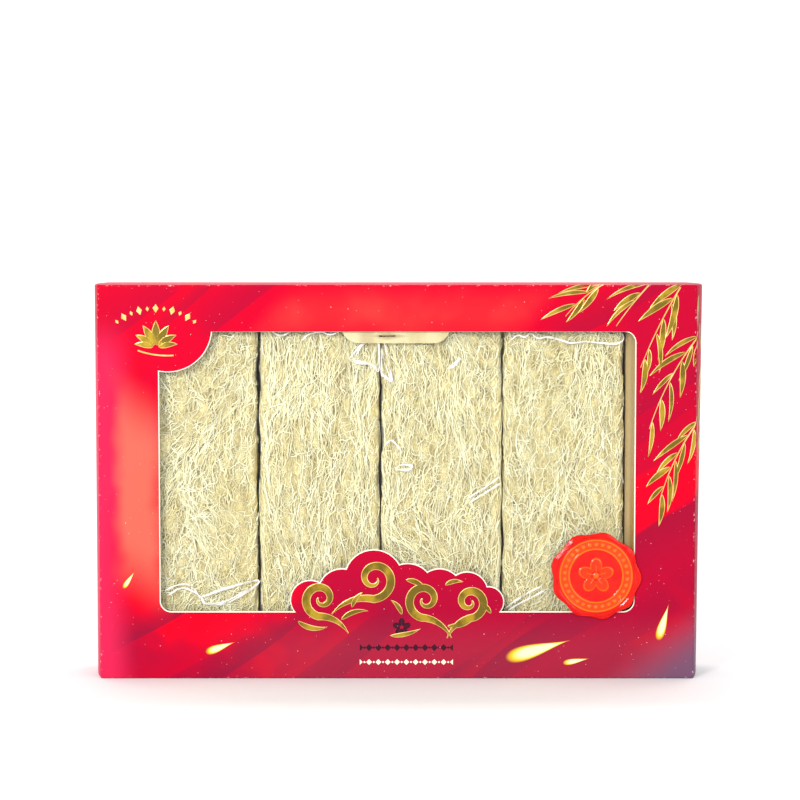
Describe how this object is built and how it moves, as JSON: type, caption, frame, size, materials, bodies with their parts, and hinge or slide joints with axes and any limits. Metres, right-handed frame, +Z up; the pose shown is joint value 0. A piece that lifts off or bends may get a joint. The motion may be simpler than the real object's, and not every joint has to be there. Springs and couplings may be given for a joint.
{
  "type": "boxed edible bird's nest gift set",
  "caption": "Slim card gift box standing on edge, with a die-cut window over pressed bricks of dried edible bird's nest in clear bags, and a wax-like seal.",
  "frame": {"origin": "under the middle of the whole set, on the surface it stands on", "axes": "+X along the width, to the right seen from the window side; +Y from the window to the back; +Z up"},
  "size_m": [0.2876, 0.0402, 0.186],
  "materials": {
    "printed_card": "satin print, red to crimson",
    "gold_foil": "hot-stamped gold foil",
    "tan_card": "matt tan-gold card",
    "cream_card": "matt cream card",
    "clear_film": "clear glossy film",
    "clear_bag": "clear crinkled film",
    "nest": "dried translucent cream strands",
    "seal_wax": "glossy red wax-like plastic"
  },
  "bodies": {
    "root": {"lid": "printed_card", "window_film": "clear_film", "tray": "tan_card", "thumb_tab": "cream_card", "nest_brick_1": "nest", "nest_brick_2": "nest", "nest_brick_3": "nest", "nest_brick_4": "nest", "bag_1": "clear_bag", "bag_2": "clear_bag", "bag_3": "clear_bag", "bag_4": "clear_bag", "seal": "seal_wax"}
  },
  "joints": []
}
